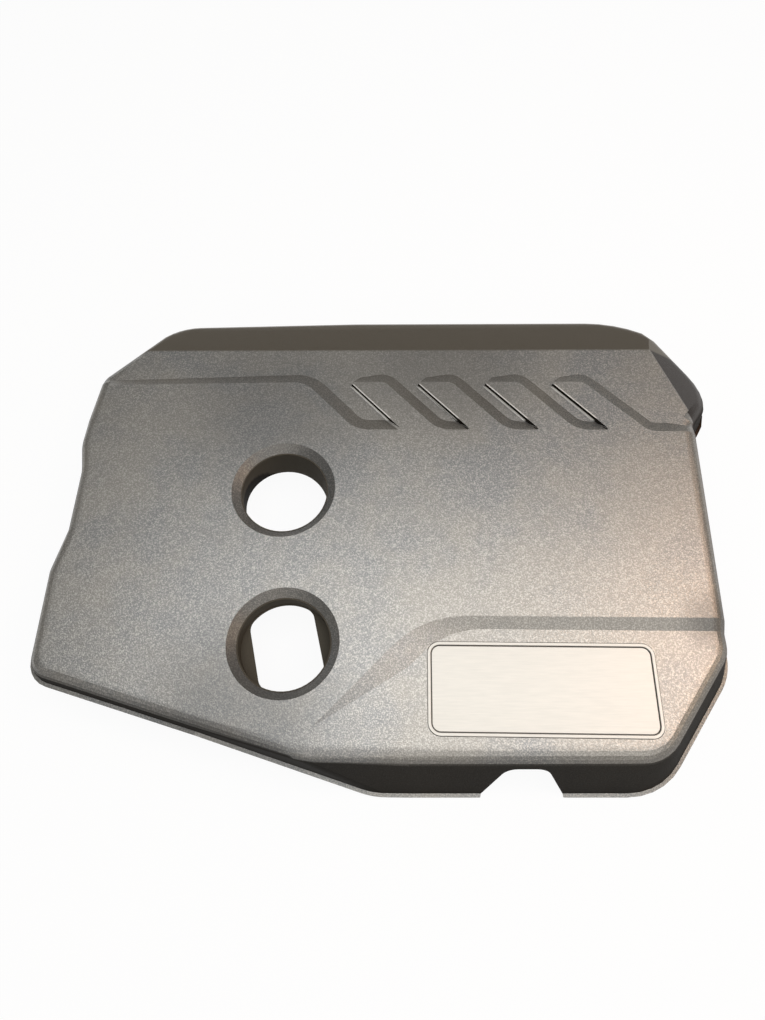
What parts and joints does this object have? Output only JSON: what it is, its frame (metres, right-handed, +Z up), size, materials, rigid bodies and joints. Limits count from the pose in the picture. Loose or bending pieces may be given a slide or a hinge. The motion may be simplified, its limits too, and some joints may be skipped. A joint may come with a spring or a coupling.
{
  "type": "car engine cover",
  "caption": "Moulded plastic engine cover with reach-through holes, a row of scooped louvres and a bare badge plate.",
  "frame": {"origin": "centre of the cover's bounding box, in the plane that its rim rests on", "axes": "+X to the right seen from the front, +Y to the back, +Z up through the main face"},
  "size_m": [0.5304, 0.399, 0.052],
  "materials": {
    "moulded_cover": "fine grain, satin",
    "plate": "satin, silver grey",
    "grommet": "matte"
  },
  "bodies": {
    "root": {"cover_shell": "moulded_cover", "badge_plate": "plate", "boss_rear_left": "moulded_cover", "boss_rear_right": "moulded_cover", "boss_front_left": "moulded_cover", "boss_front_right": "moulded_cover", "grommet_rear_left": "grommet", "grommet_rear_right": "grommet", "grommet_front_left": "grommet", "grommet_front_right": "grommet"}
  },
  "joints": []
}
